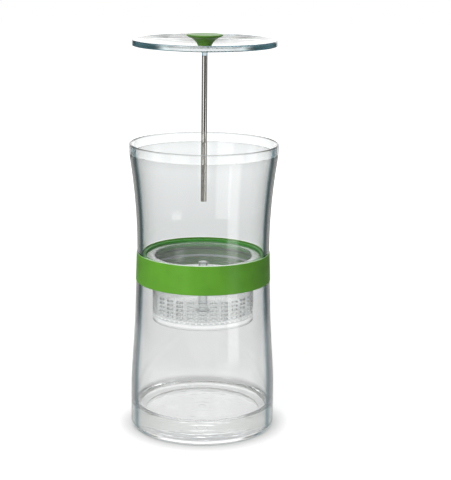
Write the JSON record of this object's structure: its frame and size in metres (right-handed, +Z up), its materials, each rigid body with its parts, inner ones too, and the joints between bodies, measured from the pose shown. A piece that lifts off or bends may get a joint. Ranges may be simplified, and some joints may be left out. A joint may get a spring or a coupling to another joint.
{
  "type": "herb keeper",
  "caption": "Tall clear lidded vessel with an hourglass waist under a grip band, a perforated hanging basket and a lifting tube under a knobbed lid.",
  "frame": {"origin": "centre of the foot ring, on the table", "axes": "+Z up along the axis of the vessels; the piece is round, and one column of basket slots faces +X"},
  "size_m": [0.112, 0.112, 0.2995],
  "materials": {
    "clear_plastic": "clear, polished",
    "green_silicone": "satin",
    "clear_silicone": "satin, translucent",
    "green_plastic": "soft satin",
    "steel": "polished"
  },
  "bodies": {
    "base_body": {"reservoir": "clear_plastic", "grip_band": "green_silicone"},
    "upper_body": {"upper_vessel": "clear_plastic", "joint_seal": "clear_silicone", "seat_ring": "green_silicone"},
    "basket_body": {"basket": "clear_plastic", "hub": "clear_plastic"},
    "lid_body": {"lid": "clear_plastic", "knob": "green_plastic", "lift_tube": "steel", "tube_plug": "green_plastic"}
  },
  "joints": [
    {"name": "vessel_lift", "type": "slide", "parent": "base_body", "child": "upper_body", "axis": [0, 0, 1], "range_m": [0, 0.06]},
    {"name": "basket_lift", "type": "slide", "parent": "upper_body", "child": "basket_body", "axis": [0, 0, 1], "range_m": [0, 0.14]},
    {"name": "lid_lift", "type": "slide", "parent": "basket_body", "child": "lid_body", "axis": [0, 0, 1], "range_m": [-0.0798, 0.05]}
  ]
}
